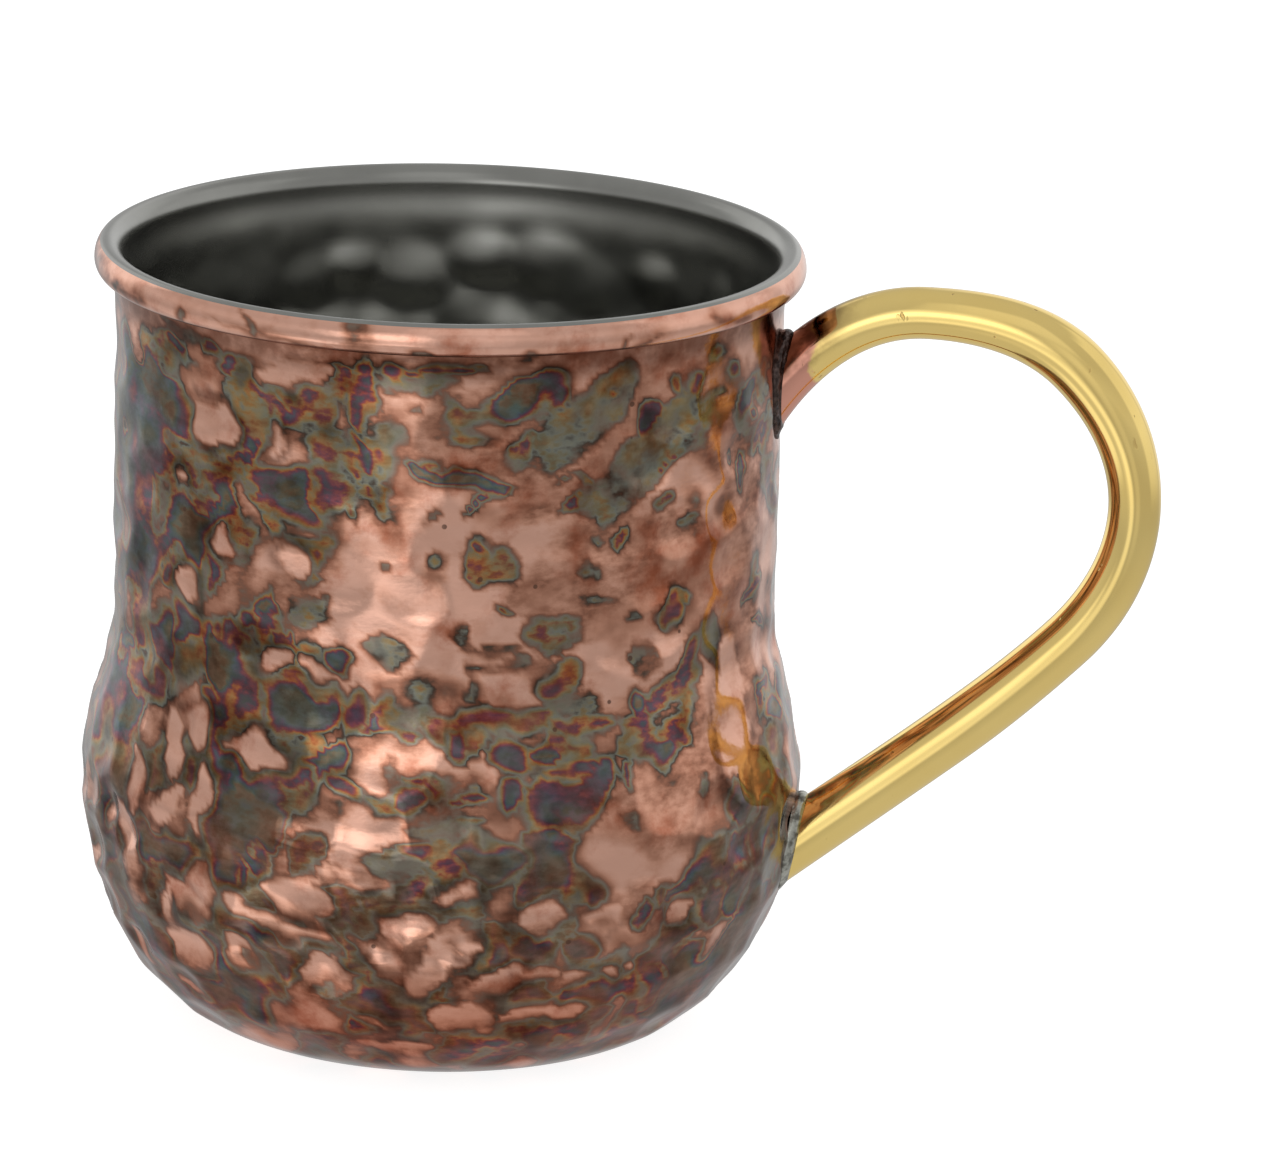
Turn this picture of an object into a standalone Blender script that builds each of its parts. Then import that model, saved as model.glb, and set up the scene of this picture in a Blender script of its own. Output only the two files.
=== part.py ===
"""A copper mug with a grey metal lining and a bent brass handle brazed to its side.

Metres, +Z up. The origin is the centre of the flat base, on the mug's axis. +X points to the handle.
"""

import math

import bmesh
import bpy
from mathutils import Matrix, Vector

MM = 0.001

# Driving dimensions, in millimetres.
BASE_RADIUS = 25.0  # the flat that the mug stands on
BELLY_RADIUS = 46.5
BELLY_HEIGHT = 32.0  # where the belly is widest
NECK_RADIUS = 42.55
NECK_HEIGHT = 56.0  # where the waist ends and the straight neck starts
FLARE_HEIGHT = 94.0  # where the neck starts to widen to the rim
RIM_RADIUS = 45.2  # outside of the rolled bead
RIM_HEIGHT = 102.0  # top of the lining on the bead
BEAD_WIDTH = 2.9
BEAD_HEIGHT = 3.4
COPPER_THICK = 0.7
LINING_THICK = 0.4
GAP = 0.3  # between pieces that touch
BEAD_END = math.radians(-105)  # where the rolled edge stops, under the bead
LINING_END = math.radians(55)  # where the lining stops, just outside the crest
TURN_STEPS = 48

# The handle's centre line in the XZ plane: x, z, direction in degrees, and the rod's radius there.
HANDLE = (
    (38.5, 78.5, 64.0, 4.1),
    (61.0, 96.0, 0.0, 3.3),
    (80.2, 90.0, -44.0, 3.8),
    (88.1, 72.3, -90.0, 3.35),
    (80.2, 54.0, -134.0, 3.6),
    (65.0, 40.2, -141.0, 3.8),
    (36.0, 16.8, -141.0, 4.3),
)
HANDLE_STEPS = 7  # rings between two of those points
ROD_SIDES = 6  # bevel resolution: 16 sides

# The filler metal at the handle's two ends.
BRAZE_REACH, BRAZE_TILT = 1.35, 0.5
SOLDER_REACH, SOLDER_TILT = 1.3, 0.1
FILLER_EDGE = 0.65  # how far its outer edge stands off the rod's surface, gap and all
FILLER_FLARE = 0.35  # how fast it widens towards the wall
FILLER_ROOT = 2.5  # how far the uncut cone runs into the mug
FILLER_SIDES = 24

BEAD_A = BEAD_WIDTH / 2 - COPPER_THICK  # half axes of the hollow inside the bead
BEAD_B = BEAD_HEIGHT / 2 - COPPER_THICK
BEAD_X = RIM_RADIUS - BEAD_WIDTH / 2
BEAD_Z = RIM_HEIGHT - LINING_THICK - GAP - BEAD_HEIGHT / 2


def clear_scene():
    for old in list(bpy.data.objects):
        bpy.data.objects.remove(old, do_unlink=True)


def new_collection(name):
    collection = bpy.data.collections.new(name)
    bpy.context.scene.collection.children.link(collection)
    return collection


def metal(name, colour, roughness):
    material = bpy.data.materials.new(name)
    material.use_nodes = True
    shader = material.node_tree.nodes["Principled BSDF"]
    shader.inputs["Base Color"].default_value = (*colour, 1.0)
    shader.inputs["Roughness"].default_value = roughness
    shader.inputs["Metallic"].default_value = 1.0
    return material


def spread(low, high, count):
    """count evenly spaced values after low, the last of them high."""
    return [low + (high - low) * i / count for i in range(1, count + 1)]


def wall_radius(z):
    """Radius of the copper's outer face at height z, from the base to the foot of the bead."""
    if z < BELLY_HEIGHT:
        drop = (BELLY_HEIGHT - z) / BELLY_HEIGHT
        return BASE_RADIUS + (BELLY_RADIUS - BASE_RADIUS) * math.sqrt(1 - drop**2)
    if z < NECK_HEIGHT:
        share = (z - BELLY_HEIGHT) / (NECK_HEIGHT - BELLY_HEIGHT)
        return NECK_RADIUS + (BELLY_RADIUS - NECK_RADIUS) * (1 + math.cos(math.pi * share)) / 2
    if z < FLARE_HEIGHT:
        return NECK_RADIUS
    share = (z - FLARE_HEIGHT) / (BEAD_Z - FLARE_HEIGHT)
    return NECK_RADIUS + (BEAD_X - BEAD_A - NECK_RADIUS) * (1 - math.cos(math.pi * share)) / 2


def wall_line():
    """The copper's outer face from the base's centre to the foot of the bead, as (radius, height)."""
    base = [(0.0, 0.0), (BASE_RADIUS / 2, 0.0), (BASE_RADIUS, 0.0)]
    angles = spread(math.radians(90), 0, 8)
    heights = [BELLY_HEIGHT * (1 - math.sin(angle)) for angle in angles]
    heights += spread(BELLY_HEIGHT, NECK_HEIGHT, 7)
    heights += spread(NECK_HEIGHT, FLARE_HEIGHT, 2)
    heights += spread(FLARE_HEIGHT, BEAD_Z, 3)
    return base + [(wall_radius(z), z) for z in heights]


def bead_line(last, count):
    """The same face round the hollow of the bead, from its inner side over the crest to the angle last."""
    angles = spread(math.pi, last, count)
    return [(BEAD_X + BEAD_A * math.cos(a), BEAD_Z + BEAD_B * math.sin(a)) for a in angles]


def parallel(line, distance):
    """The line moved sideways towards the drink, square to itself. Its first point stays on the axis."""
    moved = []
    for i, (r, z) in enumerate(line):
        before, after = line[max(i - 1, 0)], line[min(i + 1, len(line) - 1)]
        along = Vector((after[0] - before[0], after[1] - before[1])).normalized()
        moved.append((r - along.y * distance, z + along.x * distance))
    moved[0] = (0.0, line[0][1] + distance)
    return moved


def turned(name, profile, collection, material=None):
    """A solid of revolution. The profile runs down its outer side."""
    mesh = bpy.data.meshes.new(name)
    points = [(r * MM, 0.0, z * MM) for r, z in profile]
    mesh.from_pydata(points, [(i, i + 1) for i in range(len(points) - 1)], [])
    turned_object = bpy.data.objects.new(name, mesh)
    collection.objects.link(turned_object)
    screw = turned_object.modifiers.new("turn", "SCREW")
    screw.steps = screw.render_steps = TURN_STEPS
    screw.use_merge_vertices = True
    screw.merge_threshold = 1e-6
    if material:
        mesh.materials.append(material)
    return turned_object


def sheet(line, near, far):
    """The outline of a layer between two distances from the line, with both its ends on the axis."""
    return parallel(line, far) + parallel(line, near)[::-1]


def bezier(start, start_pull, end_pull, end, share):
    rest = 1 - share
    return (
        start * rest**3
        + start_pull * 3 * rest**2 * share
        + end_pull * 3 * rest * share**2
        + end * share**3
    )


def handle_line():
    """Points along the handle as (x, z, radius), smooth through the listed points."""
    line = [(HANDLE[0][0], HANDLE[0][1], HANDLE[0][3])]
    for (x0, z0, turn0, r0), (x1, z1, turn1, r1) in zip(HANDLE[:-1], HANDLE[1:]):
        start, end = Vector((x0, z0)), Vector((x1, z1))
        angle0, angle1 = math.radians(turn0), math.radians(turn1)
        reach = (end - start).length / (3 * math.cos((angle1 - angle0) / 4) ** 2)
        start_pull = start + reach * Vector((math.cos(angle0), math.sin(angle0)))
        end_pull = end - reach * Vector((math.cos(angle1), math.sin(angle1)))
        for share in spread(0, 1, HANDLE_STEPS):
            point = bezier(start, start_pull, end_pull, end, share)
            ease = share**2 * (3 - 2 * share)
            line.append((point.x, point.y, r0 + (r1 - r0) * ease))
    return line


def rod(name, line, collection):
    """A round rod of changing radius along (x, z, radius) points, as a closed mesh object."""
    curve = bpy.data.curves.new(name, "CURVE")
    curve.dimensions = "3D"
    curve.bevel_depth = MM
    curve.bevel_resolution = ROD_SIDES
    curve.use_fill_caps = True
    spline = curve.splines.new("POLY")
    spline.points.add(len(line) - 1)
    for point, (x, z, radius) in zip(spline.points, line):
        point.co = (x * MM, 0.0, z * MM, 1.0)
        point.radius = radius
    guide = bpy.data.objects.new(name + "_guide", curve)
    collection.objects.link(guide)
    graph = bpy.context.evaluated_depsgraph_get()
    mesh = bpy.data.meshes.new_from_object(guide.evaluated_get(graph))
    solid = bpy.data.objects.new(name, mesh)
    solid.matrix_world = guide.matrix_world
    collection.objects.link(solid)
    bpy.data.objects.remove(guide, do_unlink=True)
    weld(mesh)
    return solid


def weld(mesh):
    """Joins a curve's loose caps to its sides."""
    work = bmesh.new()
    work.from_mesh(mesh)
    bmesh.ops.remove_doubles(work, verts=work.verts, dist=1e-6)
    bmesh.ops.recalc_face_normals(work, faces=work.faces)
    work.to_mesh(mesh)
    work.free()


def cut(solid, cutter):
    boolean = solid.modifiers.new("cut_" + cutter.name, "BOOLEAN")
    boolean.operation = "DIFFERENCE"
    boolean.solver = "EXACT"
    boolean.object = cutter
    cutter.hide_render = True
    cutter.display_type = "WIRE"


def smooth(solid):
    solid.data.shade_smooth()
    solid.data.set_sharp_from_angle(angle=math.radians(40))


def wall_crossing(line):
    """Where a line of (x, z, radius) that starts inside the mug leaves it: point, direction and radius."""
    outside = next(i for i, (x, z, _) in enumerate(line) if x > wall_radius(z))
    (x0, z0, radius), (x1, z1, _) = line[outside - 1], line[outside]
    inner, outer = Vector((x0, z0)), Vector((x1, z1))
    share = (wall_radius(z0) - x0) / (x1 - x0)
    return inner.lerp(outer, share), (outer - inner).normalized(), radius


def filler(name, line, reach, tilt, collection):
    """A ring of brazing metal between the wall and the rod: a cone square to the wall, sheared along it.

    It stands out by reach from the wall, and by tilt more above the rod than level with it.
    """
    wall, along, radius = wall_crossing(line)
    slope = along.y / along.x
    length = FILLER_ROOT + reach
    root_radius = radius + FILLER_EDGE + FILLER_FLARE * length
    work = bmesh.new()
    bmesh.ops.create_cone(
        work,
        cap_ends=True,
        segments=FILLER_SIDES,
        radius1=root_radius,
        radius2=radius + FILLER_EDGE,
        depth=length,
        matrix=Matrix.Rotation(math.radians(90), 4, "Y"),
    )
    for vertex in work.verts:
        x = vertex.co.x + length / 2 - FILLER_ROOT
        z = vertex.co.z * math.hypot(1, slope)
        if x > 0:
            x += tilt * z / radius
        vertex.co = ((wall.x + x) * MM, vertex.co.y * MM, (wall.y + z + slope * x) * MM)
    mesh = bpy.data.meshes.new(name)
    work.to_mesh(mesh)
    work.free()
    ring = bpy.data.objects.new(name, mesh)
    collection.objects.link(ring)
    return ring


def build():
    clear_scene()
    mug = new_collection("copper_mug")
    cutters = new_collection("cutters")
    copper = metal("copper", (0.49, 0.21, 0.13), 0.25)
    grey = metal("lining", (0.30, 0.30, 0.29), 0.35)
    brass = metal("brass", (0.60, 0.42, 0.12), 0.18)
    dark_braze = metal("dark_braze", (0.06, 0.045, 0.04), 0.5)
    tin_solder = metal("tin_solder", (0.25, 0.26, 0.26), 0.35)

    wall = wall_line()
    copper_line = wall + bead_line(BEAD_END, 8)
    turned("copper_body", sheet(copper_line, 0.0, COPPER_THICK), mug, copper)
    lining_line = wall + bead_line(LINING_END, 4)
    lining_face = COPPER_THICK + GAP
    turned("inner_lining", sheet(lining_line, lining_face, lining_face + LINING_THICK), mug, grey)

    around_wall = parallel(wall, -GAP)[::-1]
    body_space = turned("body_space", [(0.0, around_wall[0][1]), *around_wall], cutters)

    line = handle_line()
    handle = rod("handle", line, mug)
    handle.data.materials.append(brass)
    cut(handle, body_space)

    rod_space = rod("rod_space", [(x, z, radius + GAP) for x, z, radius in line], cutters)
    braze = filler("upper_braze", line, BRAZE_REACH, BRAZE_TILT, mug)
    braze.data.materials.append(dark_braze)
    solder = filler("lower_solder", line[::-1], SOLDER_REACH, SOLDER_TILT, mug)
    solder.data.materials.append(tin_solder)
    for ring in (braze, solder):
        cut(ring, body_space)
        cut(ring, rod_space)

    for solid in mug.objects:
        smooth(solid)


build()
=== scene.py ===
"""The looks of a copper mug: hammered copper with a flame patina, a grey lining and a brass handle.

The frame is in metres, +Z up, with +X towards the handle. Lengths here are in millimetres, angles in
degrees, and MM turns a length into metres.
"""

import math

import bpy
import numpy as np
from mathutils import Matrix, Vector, noise


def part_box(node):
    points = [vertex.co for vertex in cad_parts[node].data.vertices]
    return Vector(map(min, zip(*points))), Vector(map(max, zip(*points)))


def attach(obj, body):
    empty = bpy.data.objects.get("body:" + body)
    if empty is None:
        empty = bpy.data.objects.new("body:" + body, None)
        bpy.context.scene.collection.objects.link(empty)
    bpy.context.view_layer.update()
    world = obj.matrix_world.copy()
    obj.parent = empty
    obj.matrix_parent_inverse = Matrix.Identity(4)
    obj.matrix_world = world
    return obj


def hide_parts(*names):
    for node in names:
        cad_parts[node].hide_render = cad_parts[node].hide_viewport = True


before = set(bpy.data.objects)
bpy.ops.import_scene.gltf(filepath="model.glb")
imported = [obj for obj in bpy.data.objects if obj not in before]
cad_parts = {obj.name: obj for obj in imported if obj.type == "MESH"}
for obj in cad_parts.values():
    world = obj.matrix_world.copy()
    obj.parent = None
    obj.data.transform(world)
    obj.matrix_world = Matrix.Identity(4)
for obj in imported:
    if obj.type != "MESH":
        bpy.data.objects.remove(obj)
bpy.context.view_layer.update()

MM = 0.001
VIEW_TURN = 7.0  # how far the camera has gone round the mug, from -Y towards +X
FRONT = VIEW_TURN - 90  # the direction that faces the camera, as an angle from +X

# Sizes that the frame gives.
BELLY_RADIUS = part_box("copper_body")[1].y / MM
RIM_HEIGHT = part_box("inner_lining")[1].z / MM

# Sizes that repeat the frame's design.
BASE_RADIUS = 25.0
BELLY_HEIGHT = 32.0
NECK_RADIUS = 42.55
NECK_HEIGHT = 56.0
FLARE_HEIGHT = 94.0
RIM_RADIUS = 45.2
BEAD_X, BEAD_Z = 43.75, 99.6  # the middle of the rolled bead
HOLLOW_A, HOLLOW_B = 0.75, 1.0  # half axes of the hollow inside it
BEAD_OUT = RIM_RADIUS - BEAD_X  # half axes of the bead: outwards, down, up and towards the drink
BEAD_DOWN = 1.7
BEAD_UP = RIM_HEIGHT - BEAD_Z
BEAD_IN = 2.15
BEAD_END = -105.0  # where the rolled edge stops, under the bead
LINING_END = 60.0  # where the lining stops, outside the crest
LINING_FACE = 1.4  # from the copper's outer face to the drink
LINING_THICK = 0.4
LINING_GAP = 0.05  # between the lining and the copper
WALL_THICK = LINING_FACE - LINING_THICK - LINING_GAP

LINING_GAIN = 1.35  # the hammer marks bulge more inside than they dent outside

SHELL_STEPS = 380  # points round the axis
LINING_STEPS = 320
BASE_ROWS = 7  # points from the base's centre to its edge


# Shapes ------------------------------------------------------------------------------------------


def wall_radius(z):
    """Radius of the copper's outer face at a height, as an array."""
    z = np.asarray(z, float)
    drop = np.clip((BELLY_HEIGHT - z) / BELLY_HEIGHT, 0, 1)
    belly = BASE_RADIUS + (BELLY_RADIUS - BASE_RADIUS) * np.sqrt(1 - drop**2)
    waist = np.clip((z - BELLY_HEIGHT) / (NECK_HEIGHT - BELLY_HEIGHT), 0, 1)
    neck = NECK_RADIUS + (BELLY_RADIUS - NECK_RADIUS) * (1 + np.cos(np.pi * waist)) / 2
    flare = np.clip((z - FLARE_HEIGHT) / (BEAD_Z - FLARE_HEIGHT), 0, 1)
    rim = (BEAD_X - HOLLOW_A - NECK_RADIUS) * (1 - np.cos(np.pi * flare)) / 2
    return np.where(z < BELLY_HEIGHT, belly, neck + rim)


def wall_line(fine):
    """(radius, height) rows up the copper's outer face, from the base's centre to the foot of the bead."""
    base = [(BASE_RADIUS * share, 0.0) for share in np.linspace(0, 1, BASE_ROWS)]
    turn = np.radians(np.linspace(90, 0, int(62 * fine) + 1)[1:])
    heights = [BELLY_HEIGHT * (1 - np.sin(turn))]
    heights.append(np.linspace(BELLY_HEIGHT, NECK_HEIGHT, int(36 * fine) + 1)[1:])
    heights.append(np.linspace(NECK_HEIGHT, FLARE_HEIGHT, int(56 * fine) + 1)[1:])
    heights.append(np.linspace(FLARE_HEIGHT, BEAD_Z, int(9 * fine) + 1)[1:])
    heights = np.concatenate(heights)
    return np.vstack([base, np.column_stack([wall_radius(heights), heights])])


def line_normals(line):
    """The unit normals of a (radius, height) line, to its right hand: outwards for the wall."""
    along = np.gradient(line, axis=0)
    along /= np.linalg.norm(along, axis=1)[:, None]
    return np.column_stack([along[:, 1], -along[:, 0]])


def moved_in(line, distance):
    """A wall line moved towards the drink. Its first point stays on the axis."""
    moved = line - line_normals(line) * distance
    moved[0, 0] = 0.0
    return moved


def bead_arc(start, end, count, out, up, inward, down):
    """Points round the bead between two angles, on half axes that differ from quarter to quarter."""
    turn = np.radians(np.linspace(start, end, count))
    across, rise = np.cos(turn), np.sin(turn)
    r = BEAD_X + np.where(across > 0, out, inward) * across
    return np.column_stack([r, BEAD_Z + np.where(rise > 0, up, down) * rise])


def grid_mesh(name, points, closed_rows):
    """A mesh object from a rows x columns x 3 grid of points in millimetres, its columns going round.

    With closed_rows the last row joins the first. Otherwise the first and last rows are single points.
    """
    rows, columns = points.shape[:2]
    index = np.arange(rows * columns).reshape(rows, columns)
    if not closed_rows:
        index[0], index[-1] = index[0, 0], index[-1, 0]
    below = index if closed_rows else index[:-1]
    above = np.roll(index, -1, 0) if closed_rows else index[1:]
    corners = [below, np.roll(below, -1, 1), np.roll(above, -1, 1), above]
    faces = np.stack([c.ravel() for c in corners], 1)
    used = np.unique(faces)
    place = np.full(rows * columns, -1)
    place[used] = np.arange(len(used))
    polygons = []
    for face in place[faces].tolist():
        polygons.append([v for k, v in enumerate(face) if v != face[k - 1]])
    mesh = bpy.data.meshes.new(name)
    mesh.from_pydata((points.reshape(-1, 3)[used] * MM).tolist(), [], polygons)
    mesh.shade_smooth()
    mesh.set_sharp_from_angle(angle=math.radians(50))
    piece = bpy.data.objects.new(name, mesh)
    bpy.context.scene.collection.objects.link(piece)
    return piece, used


def spun(loop, steps):
    """The grid of points that a (radius, height) loop makes round the axis, and each point's angle."""
    turn = np.radians(np.arange(steps) * 360 / steps)
    around = np.broadcast_to(turn, (len(loop), steps))
    r, z = loop[:, :1], loop[:, 1:]
    points = np.stack([r * np.cos(around), r * np.sin(around), z + 0 * around], -1)
    return points, np.degrees(around)


# Hammer marks ------------------------------------------------------------------------------------

MARK_SPACING = 7.2  # between rows, and a little less than between the marks of a row
LOWEST_ROW, TOP_MARGIN = 6.0, 4.0  # lengths up the wall from the base's edge, and down from the bead
LIP_DROP, LIP_DEPTH = 1.6, 0.42  # how far a bare patch is below its mark's middle, and that mark's depth
LIP_SIZES = 3.2, 5.2  # the least and the greatest radius of such a mark
LINING_ROW = 80.0  # the height of a row of marks that only the lining has
LINING_ROW_MARKS = 45
MARK_STRETCH = 1.25  # a mark is this much wider than it is high
UNEVEN_SIZE, DIMPLE_SIZE = 16.0, 4.6  # how wide the wall's slow waves and its small dimples are
UNEVEN_DEPTH, DIMPLE_DEPTH = 0.1, 0.09

# Where the marks are deeper, as heights or turns for window(). RIGHT is the neck on the handle's side.
BELLY_HEIGHTS = 9.0, 18.0, 32.0, 58.0
RIGHT_HEIGHTS = 50.0, 58.0, 76.0, 88.0
RIGHT_TURNS = 14.0, 26.0, 58.0, 75.0
DENTED_HEIGHTS = 1.0, 5.0, 92.0, 97.0  # where there are any
MARK_GAIN, BELLY_GAIN, RIGHT_GAIN = 1.25, 1.2, 0.9  # the first everywhere, the others added to it


def wall_lengths():
    """Heights and the length of the wall from the base's edge up to each of them."""
    line = wall_line(1.0)[BASE_ROWS - 1 :]
    steps = np.linalg.norm(np.diff(line, axis=0), axis=1)
    return line[:, 1], np.concatenate([[0], np.cumsum(steps)])


HEIGHTS, LENGTHS = wall_lengths()


def hammer_marks(in_lining):
    """(angle, length up the wall, radius, depth) of each hammer mark, row by row.

    The belly's bare patches are the lips that polishing has cleared, so each has a mark just above it.
    The lining has one more row, of marks that are all alike.
    """
    draw = np.random.default_rng(11)
    marks = []
    rows = np.arange(LOWEST_ROW, LENGTHS[-1] - TOP_MARGIN, MARK_SPACING)
    for row, length in enumerate(rows):
        radius = float(wall_radius(np.interp(length, LENGTHS, HEIGHTS)))
        count = round(2 * math.pi * radius / (MARK_SPACING + 1.0))
        for k in range(count):
            angle = 360 / count * (k + 0.5 * (row % 2) + draw.uniform(-0.28, 0.28))
            up = length + draw.uniform(-1.6, 1.6)
            marks.append((angle, up, draw.uniform(3.6, 5.4), draw.uniform(0.14, 0.38)))
    for turn, level, half_width, _, _, film in PATCHES:
        if film == BARE and level < BELLY_HEIGHT:
            up = np.interp(level, HEIGHTS, LENGTHS) + LIP_DROP
            marks.append((FRONT + turn, up, float(np.clip(half_width, *LIP_SIZES)), LIP_DEPTH))
    if in_lining:
        for k in range(LINING_ROW_MARKS):
            up = np.interp(LINING_ROW, HEIGHTS, LENGTHS) + draw.uniform(-0.5, 0.5)
            marks.append((360 / LINING_ROW_MARKS * k + draw.uniform(-1, 1), up, 4.0, 0.4))
    return marks


def turn_between(angle, middle):
    """The turn from middle to an angle, from -180 to 180."""
    return (angle - middle + 180) % 360 - 180


def smoothstep(low, high, value):
    """0 at low and 1 at high, with a smooth rise or fall between them."""
    share = np.clip((value - low) / (high - low), 0, 1)
    return share * share * (3 - 2 * share)


def window(value, start, full, fade, end):
    """0 up to start, 1 from full to fade and 0 past end."""
    return smoothstep(start, full, value) * (1 - smoothstep(fade, end, value))


def ripple(points, size, seed):
    """Smooth noise from about -1 to 1 with bumps of a size in millimetres, at each point."""
    at = points.reshape(-1, 3) / size + seed
    values = [noise.noise(Vector(p)) for p in at.tolist()]
    return np.array(values).reshape(points.shape[:-1])


def dent_depth(points, angle, in_lining):
    """How far hammering pushes the wall in at each point of a grid."""
    heights = points[..., 2]
    length = np.interp(heights, HEIGHTS, LENGTHS)
    radius = np.hypot(points[..., 0], points[..., 1])
    total = np.zeros(heights.shape)
    for middle, up, size, depth in hammer_marks(in_lining):
        rows = np.flatnonzero(np.abs(length[:, 0] - up) < size)
        if not len(rows):
            continue
        rows = slice(rows[0], rows[-1] + 1)
        across = np.radians(turn_between(angle[rows], middle)) * radius[rows]
        above = length[rows] - up
        away = ((across / MARK_STRETCH) ** 2 + above**2) / size**2
        scoop = depth * np.clip(1 - away, 0, 1) ** 1.3 * (1 - 0.55 * np.clip(above / size, -1, 1))
        total[rows] += scoop**3
    right = window(turn_between(angle, FRONT), *RIGHT_TURNS) * window(heights, *RIGHT_HEIGHTS)
    depth = np.cbrt(total) * (MARK_GAIN + BELLY_GAIN * window(heights, *BELLY_HEIGHTS) + RIGHT_GAIN * right)
    depth += UNEVEN_DEPTH * ripple(points, UNEVEN_SIZE, 3.1)
    depth += DIMPLE_DEPTH * ripple(points, DIMPLE_SIZE, 8.7)
    return depth * window(heights, *DENTED_HEIGHTS)


def dented(loop, steps, wall_rows, in_lining):
    """The spun grid of a loop with the wall's rows pushed in by the hammer marks."""
    points, angle = spun(loop, steps)
    normals = line_normals(loop)
    gain = LINING_GAIN if in_lining else 1.0
    for rows in wall_rows:
        depth = gain * dent_depth(points[rows], angle[rows], in_lining)
        outward = np.sign(normals[rows, 0])[:, None] * normals[rows]
        turn = np.radians(angle[rows])
        side = np.stack([np.cos(turn), np.sin(turn), 0 * turn], -1)
        push = side * outward[:, None, :1]
        push[..., 2] = outward[:, None, 1]
        points[rows] -= push * depth[..., None]
    return points, angle


# Pieces ------------------------------------------------------------------------------------------


def copper_shell():
    """The hammered body with its rolled bead, cut back under the lining's edge."""
    outside = wall_line(1.0)
    hollow = bead_arc(180, BEAD_END, 14, HOLLOW_A, HOLLOW_B, HOLLOW_A, HOLLOW_B)[1:]
    bead = bead_arc(BEAD_END, LINING_END, 26, BEAD_OUT, BEAD_UP, BEAD_OUT, BEAD_DOWN)
    covered = LINING_THICK + LINING_GAP
    under = BEAD_UP - covered
    crest = bead_arc(LINING_END, 180, 14, BEAD_OUT - covered, under, BEAD_IN - covered, under)
    inside = moved_in(wall_line(0.18), WALL_THICK)[::-1][1:]
    loop = np.vstack([outside, hollow, bead, crest, inside])
    wall_rows = [slice(0, len(outside)), slice(len(loop) - len(inside), len(loop))]
    points, angle = dented(loop, SHELL_STEPS, wall_rows, False)
    shell, used = grid_mesh("copper_shell", points[::-1], False)
    film, shade = film_field(points, angle)
    add_values(shell, "film", film[::-1].ravel()[used])
    add_values(shell, "shade", shade[::-1].ravel()[used])
    return shell


def steel_lining():
    """The grey layer over the inside and the crest, as a closed shell."""
    inside = moved_in(wall_line(0.8), LINING_FACE)
    crest = bead_arc(180, LINING_END, 26, BEAD_OUT, BEAD_UP, BEAD_IN, BEAD_DOWN)[1:]
    thin = BEAD_UP - LINING_THICK
    under = bead_arc(LINING_END, 180, 12, BEAD_OUT - LINING_THICK, thin, BEAD_IN - LINING_THICK, thin)
    outside = moved_in(wall_line(0.18), LINING_FACE - LINING_THICK)[::-1][1:]
    loop = np.vstack([inside, crest, under, outside])
    wall_rows = [slice(0, len(inside)), slice(len(loop) - len(outside), len(loop))]
    points, _ = dented(loop, LINING_STEPS, wall_rows, True)
    return grid_mesh("steel_lining", points, False)[0]


# The handle's centre line in the XZ plane: x, z, direction and the rod's radius there. It is the frame's
# line with slightly slimmer ends.
HANDLE = (
    (38.05, 78.7, 64.0, 3.6),
    (61.0, 96.0, 0.0, 3.3),
    (80.2, 90.0, -44.0, 3.8),
    (88.1, 72.3, -90.0, 3.35),
    (80.2, 54.0, -134.0, 3.6),
    (65.0, 40.2, -141.0, 3.8),
    (35.8, 17.0, -141.0, 4.0),
)
ARC_STEPS = 80  # between two of those points
ROD_SIDES = 48
ROD_RINGS = 260
ROD_SUNK = 0.4  # how far the rod's ends go into the wall
FILLET_ROWS = 11
FILLET_SUNK = 0.3  # how far the filler goes into the wall and the rod
LUMP_SIZE = 1.7


def handle_line():
    """Rows of x, z and radius along the handle, smooth through the listed points."""
    rows = []
    for (x0, z0, turn0, r0), (x1, z1, turn1, r1) in zip(HANDLE[:-1], HANDLE[1:]):
        start, end = np.array([x0, z0]), np.array([x1, z1])
        a0, a1 = math.radians(turn0), math.radians(turn1)
        reach = np.linalg.norm(end - start) / (3 * math.cos((a1 - a0) / 4) ** 2)
        pull0 = start + reach * np.array([math.cos(a0), math.sin(a0)])
        pull1 = end - reach * np.array([math.cos(a1), math.sin(a1)])
        t = np.linspace(0, 1, ARC_STEPS, endpoint=False)[:, None]
        at = start * (1 - t) ** 3 + 3 * pull0 * t * (1 - t) ** 2
        at += 3 * pull1 * t**2 * (1 - t) + end * t**3
        rows.append(np.hstack([at, r0 + (r1 - r0) * smoothstep(0, 1, t)]))
    return np.vstack(rows)


def rod_sides():
    """Points on the rod's surface as steps x sides x 3, and how far each is outside the copper wall."""
    line = handle_line()
    centre, radius = line[:, :2], line[:, 2]
    normal = line_normals(centre)
    turn = np.radians(np.arange(ROD_SIDES) * 360 / ROD_SIDES)
    x = centre[:, :1] + radius[:, None] * normal[:, :1] * np.cos(turn)
    z = centre[:, 1:] + radius[:, None] * normal[:, 1:] * np.cos(turn)
    y = radius[:, None] * np.sin(turn) + 0 * x
    return np.stack([x, y, z], -1), np.hypot(x, y) - wall_radius(z)


def crossing(outside, depth, last):
    """For each side of the rod, the step where it is a depth inside the wall, as a fraction of steps."""
    past = outside > -depth
    found = []
    for side in range(past.shape[1]):
        clear = np.flatnonzero(past[:, side])
        step = clear[-1] if last else clear[0] - 1
        a, b = outside[step, side] + depth, outside[step + 1, side] + depth
        found.append(step + a / (a - b))
    return np.array(found)


def along_sides(surface, steps):
    """The rod's surface at fractional steps, an array of rows x sides."""
    low = np.clip(np.floor(steps).astype(int), 0, len(surface) - 2)
    share = (steps - low)[..., None]
    side = np.arange(surface.shape[1])
    return surface[low, side] * (1 - share) + surface[low + 1, side] * share


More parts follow.
